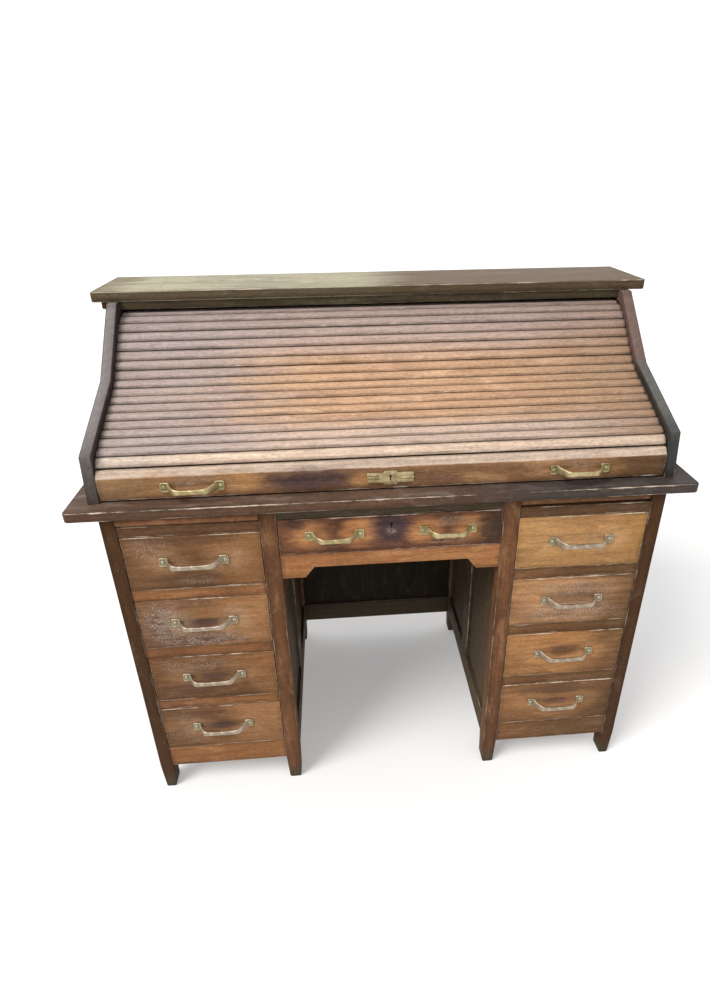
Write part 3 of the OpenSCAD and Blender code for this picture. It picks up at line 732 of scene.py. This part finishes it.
def make_curtain():
    m = MATERIALS
    wooden("curtain_rail", m["oak_rail"], 16.4, 1.4)
    wooden("curtain_bolt", m["steel"], 17.0, 0.6)
    for g in range(1, SLAT_GROUPS + 1):
        wood = m["oak_slat_low" if g == 1 else "oak_slat"]
        wooden(f"slats_{g:02d}", wood, 18.0 + 1.13 * g, 0.7)


def make_drawers():
    m = MATERIALS
    for k, side in enumerate(SIDES):
        for i in range(1, PER_PEDESTAL + 1):
            name = f"{side}_drawer_{i}"
            start = 31.0 + 5.3 * k + 1.21 * i
            wooden(name + "_front", m[f"oak_{side}_{i}"], start, 1.6)
            wooden(name + "_box", m["oak_raw"], start + 0.6, 0.5)
        wooden(side + "_writing_slide", m["oak_slide"], 47.0 + 1.7 * k, 0.8)
    wooden("centre_drawer_front", m["oak_centre"], 44.1, 1.6)
    wooden("centre_drawer_box", m["oak_raw"], 45.3, 0.5)
    wooden("centre_drawer_bolt", m["steel"], 46.2, 0.6)


def make_brass():
    for side in SIDES:
        for i in range(1, PER_PEDESTAL + 1):
            node = f"{side}_drawer_{i}_pull"
            c = middle(node)
            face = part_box(f"{side}_drawer_{i}_front")[0].y
            pulls(node, [(c.x, face, c.z)], PULL_LEN, "brass_dull")
    pull_pair("centre_drawer_pulls", "centre_drawer_front", MID_PULL_LEN)
    pull_pair("curtain_pulls", "curtain_rail", RAIL_PULL_LEN)
    escutcheon()


def pull_pair(node, board, length):
    """A pair of pulls as far out as their node, on the face of the board they are screwed to."""
    c = middle(node)
    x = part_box(node)[1].x - length / 2
    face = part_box(board)[0].y
    pulls(node, [(side * x, face, c.z) for side in (-1, 1)], length, "brass_gold")


def escutcheon():
    """The keyhole plate: a boss in the middle and a wing with three flutes on each side."""
    node = "curtain_escutcheon"
    bm = solid_mesh(node)
    layer = bm.verts.layers.float.new("recess")
    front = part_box(node)[0].y
    for v in bm.verts:
        v[layer] = 0.9 if v.co.y > front + FLUTE_DEPTH else 0.1
    mark_brass(bm, middle(node))
    piece = new_piece("brass_" + node, bm, MATERIALS["brass_gold"], node)
    bevel = piece.modifiers.new("soft_edges", "BEVEL")
    bevel.width = PLATE_ROUND
    bevel.segments = BEVEL_STEPS
    bevel.limit_method = "ANGLE"
    bevel.harden_normals = True


# ---------------------------------------------------------------- stage

FLOOR_GREY, FLOOR_GLOW, FLOOR_HALF = 0.55, 0.25, 40
SUN_POWER, SUN_COLOUR = 3.3, (1, 0.985, 0.96)
SUN_AIM, SUN_SPREAD = (0.75, 0.48, -1), math.radians(28)


def make_floor():
    bm = bmesh.new()
    bmesh.ops.create_grid(bm, x_segments=2, y_segments=2, size=FLOOR_HALF)
    mesh = bpy.data.meshes.new("floor")
    bm.to_mesh(mesh)
    bm.free()
    floor = bpy.data.objects.new("floor", mesh)
    bpy.context.scene.collection.objects.link(floor)
    s = Shader("floor")
    s.bsdf.inputs["Base Color"].default_value = (FLOOR_GREY, FLOOR_GREY, FLOOR_GREY, 1)
    s.bsdf.inputs["Roughness"].default_value = 0.9
    s.bsdf.inputs["Emission Color"].default_value = (1, 1, 1, 1)
    s.bsdf.inputs["Emission Strength"].default_value = FLOOR_GLOW
    s.bsdf.inputs["Specular IOR Level"].default_value = 0.1
    mesh.materials.append(s.material)


def add_sun(name, energy, colour, aim, spread):
    data = bpy.data.lights.new(name, "SUN")
    data.energy = energy
    data.color = colour
    data.angle = spread
    lamp = bpy.data.objects.new(name, data)
    bpy.context.scene.collection.objects.link(lamp)
    lamp.rotation_mode = "QUATERNION"
    lamp.rotation_quaternion = Vector(aim).to_track_quat("-Z", "Y")


def make_lights():
    world = bpy.data.worlds.new("studio")
    world.use_nodes = True
    ground = world.node_tree.nodes["Background"]
    ground.inputs["Color"].default_value = (1, 1, 1, 1)
    ground.inputs["Strength"].default_value = 1.0
    bpy.context.scene.world = world
    add_sun("key", SUN_POWER, SUN_COLOUR, SUN_AIM, SUN_SPREAD)


def make_camera():
    """The camera stands before the desk, a little left, and looks down at it."""
    place = Vector((-0.0944, -1.28915, 1.3352))
    yaw, pitch, roll = math.radians(4.5126), math.radians(-27.0173), math.radians(-0.5493)
    focal_share, sensor = 0.6175, 36.0
    data = bpy.data.cameras.new("camera")
    data.sensor_width = sensor
    data.lens = sensor * focal_share
    data.shift_x, data.shift_y = -0.0294, -0.0222
    data.clip_start, data.clip_end = 0.05, 200
    camera = bpy.data.objects.new("camera", data)
    bpy.context.scene.collection.objects.link(camera)
    ahead = Vector((math.sin(yaw) * math.cos(pitch), math.cos(yaw) * math.cos(pitch), math.sin(pitch)))
    right = Vector((math.cos(yaw), -math.sin(yaw), 0))
    up = right.cross(ahead)
    turned = right * math.cos(roll) + up * math.sin(roll)
    upright = up * math.cos(roll) - right * math.sin(roll)
    camera.matrix_world = Matrix.Translation(place) @ Matrix((turned, upright, -ahead)).transposed().to_4x4()
    bpy.context.scene.camera = camera


bpy.context.scene.view_settings.view_transform = "Standard"
make_camera()
make_floor()
make_lights()
make_materials()
make_case()
make_curtain()
make_drawers()
make_brass()
